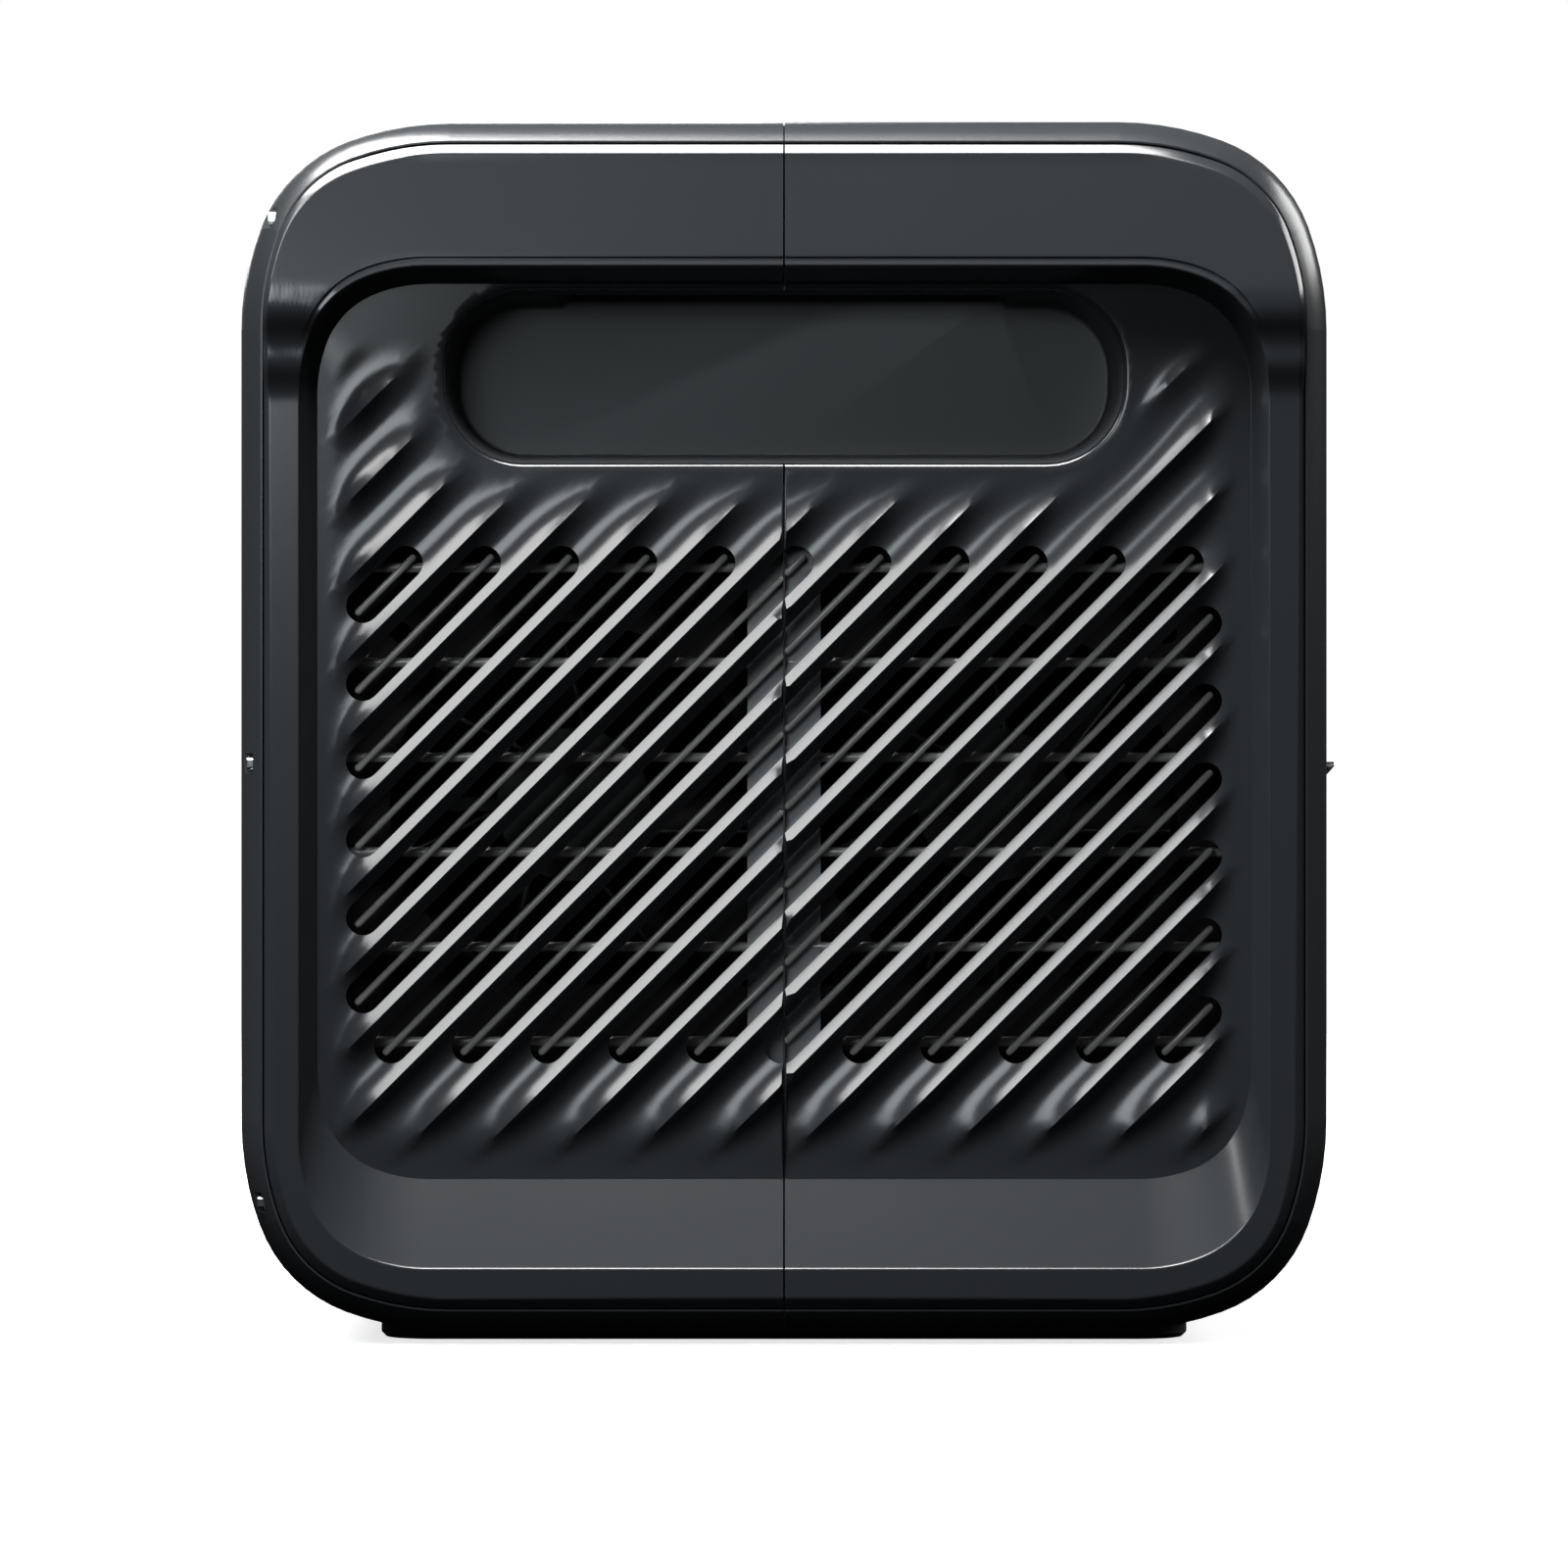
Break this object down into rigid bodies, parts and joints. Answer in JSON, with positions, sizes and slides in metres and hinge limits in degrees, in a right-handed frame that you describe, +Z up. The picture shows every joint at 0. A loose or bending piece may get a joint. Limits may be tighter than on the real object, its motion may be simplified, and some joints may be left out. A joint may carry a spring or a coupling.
{
  "type": "portable power station",
  "caption": "Portable power station: upright two-half case with slotted fan ends, carry grips, front sockets, screen and rear inlets.",
  "frame": {"origin": "middle of the case's footprint, on the surface that its feet stand on", "axes": "+Z up; +Y along the case's long side, through both slotted ends; +X out of the front, with the screen and sockets"},
  "size_m": [0.2322, 0.384, 0.253],
  "materials": {
    "shell": "satin, finely textured charcoal",
    "panel": "satin charcoal, moulded relief",
    "grip": "fine grained charcoal",
    "guard": "satin black",
    "rubber": "matt black",
    "fascia": "smooth satin black",
    "door": "matt black, soft touch",
    "button": "satin dark grey",
    "power_button": "satin orange",
    "window": "polished, smoked",
    "display": "dark liquid crystal panel",
    "lens": "frosted diffuser",
    "led": "phosphor",
    "board": "solder mask",
    "steel": "zinc plated",
    "connector": "nickel plated",
    "socket_plastic": "satin black",
    "outlet": "satin dark grey",
    "contact": "bright",
    "cell": "blue sleeve over aluminium cans",
    "tray": "glass filled black",
    "busbar": "bare",
    "deck": "folded sheet",
    "heat_sink": "extruded",
    "core": "ferrite with wrapped winding",
    "capacitor": "sleeved cans",
    "fan": "satin black",
    "clip": "bright"
  },
  "bodies": {
    "case": {"ac_inlet": "socket_plastic", "ac_outlets": "outlet", "battery_cells": "cell", "battery_cover": "tray", "battery_monitor_board": "board", "battery_tray": "tray", "breaker_body": "socket_plastic", "capacitors": "capacitor", "car_socket": "connector", "cell_busbars": "busbar", "control_board": "board", "dc_jacks": "connector", "display_module": "display", "fan_brackets": "steel", "front_fascia": "fascia", "front_housing": "shell", "front_port_tray": "socket_plastic", "heat_sinks": "heat_sink", "housing_screws": "steel", "inverter_board": "board", "lamp_leds": "led", "lamp_lens": "lens", "left_end_panel_front": "panel", "left_end_panel_rear": "panel", "left_fan_frames": "fan", "left_fan_guard_front": "guard", "left_fan_guard_rear": "guard", "left_foot": "rubber", "left_grip_tray": "grip", "outlet_contacts": "contact", "panel_screws": "steel", "power_deck": "deck", "rear_housing": "shell", "rear_port_plate": "fascia", "rear_port_tray": "socket_plastic", "right_end_panel_front": "panel", "right_end_panel_rear": "panel", "right_fan_frames": "fan", "right_fan_guard_front": "guard", "right_fan_guard_rear": "guard", "right_foot": "rubber", "right_grip_tray": "grip", "rim_clips": "clip", "screen_window": "window", "solar_inlet": "socket_plastic", "transformers": "core", "usb_board": "board", "usb_ports": "connector"},
    "front_door": {"front_port_door": "door"},
    "rear_door": {"rear_port_door": "door"},
    "power_key": {"power_button": "power_button"},
    "dc_key": {"dc_button": "button"},
    "usb_key": {"usb_button": "button"},
    "ac_key": {"ac_button": "button"},
    "lamp_key": {"lamp_button": "button"},
    "breaker_plunger": {"breaker_button": "button"},
    "left_front_rotor": {"left_front_fan_rotor": "fan"},
    "left_rear_rotor": {"left_rear_fan_rotor": "fan"},
    "right_front_rotor": {"right_front_fan_rotor": "fan"},
    "right_rear_rotor": {"right_rear_fan_rotor": "fan"}
  },
  "joints": [
    {"name": "left_front_fan_spin", "type": "hinge", "parent": "case", "child": "left_front_rotor", "pos_m": [0.044, -0.1545, 0.1115], "axis": [0, -1, 0], "continuous": true},
    {"name": "left_rear_fan_spin", "type": "hinge", "parent": "case", "child": "left_rear_rotor", "pos_m": [-0.044, -0.1545, 0.1115], "axis": [0, -1, 0], "continuous": true},
    {"name": "right_front_fan_spin", "type": "hinge", "parent": "case", "child": "right_front_rotor", "pos_m": [0.044, 0.1545, 0.1115], "axis": [0, 1, 0], "continuous": true},
    {"name": "right_rear_fan_spin", "type": "hinge", "parent": "case", "child": "right_rear_rotor", "pos_m": [-0.044, 0.1545, 0.1115], "axis": [0, 1, 0], "continuous": true},
    {"name": "front_door_hinge", "type": "hinge", "parent": "case", "child": "front_door", "pos_m": [0.1099, -0.117, 0.0641], "axis": [0, 1, 0], "range_deg": [0, 100]},
    {"name": "rear_door_hinge", "type": "hinge", "parent": "case", "child": "rear_door", "pos_m": [-0.1099, 0.018, 0.0681], "axis": [0, -1, 0], "range_deg": [0, 100]},
    {"name": "power_press", "type": "slide", "parent": "case", "child": "power_key", "axis": [-1, 0, 0], "range_m": [0, 0.0008], "stiffness_N_per_m": 900, "springref_m": -0.0006},
    {"name": "dc_press", "type": "slide", "parent": "case", "child": "dc_key", "axis": [-1, 0, 0], "range_m": [0, 0.0008], "stiffness_N_per_m": 900, "springref_m": -0.0006},
    {"name": "usb_press", "type": "slide", "parent": "case", "child": "usb_key", "axis": [-1, 0, 0], "range_m": [0, 0.0008], "stiffness_N_per_m": 900, "springref_m": -0.0006},
    {"name": "ac_press", "type": "slide", "parent": "case", "child": "ac_key", "axis": [-1, 0, 0], "range_m": [0, 0.0008], "stiffness_N_per_m": 900, "springref_m": -0.0006},
    {"name": "lamp_press", "type": "slide", "parent": "case", "child": "lamp_key", "axis": [-1, 0, 0], "range_m": [0, 0.0008], "stiffness_N_per_m": 900, "springref_m": -0.0006},
    {"name": "breaker_reset", "type": "slide", "parent": "case", "child": "breaker_plunger", "axis": [-1, 0, 0], "range_m": [0, 0.0025]}
  ]
}
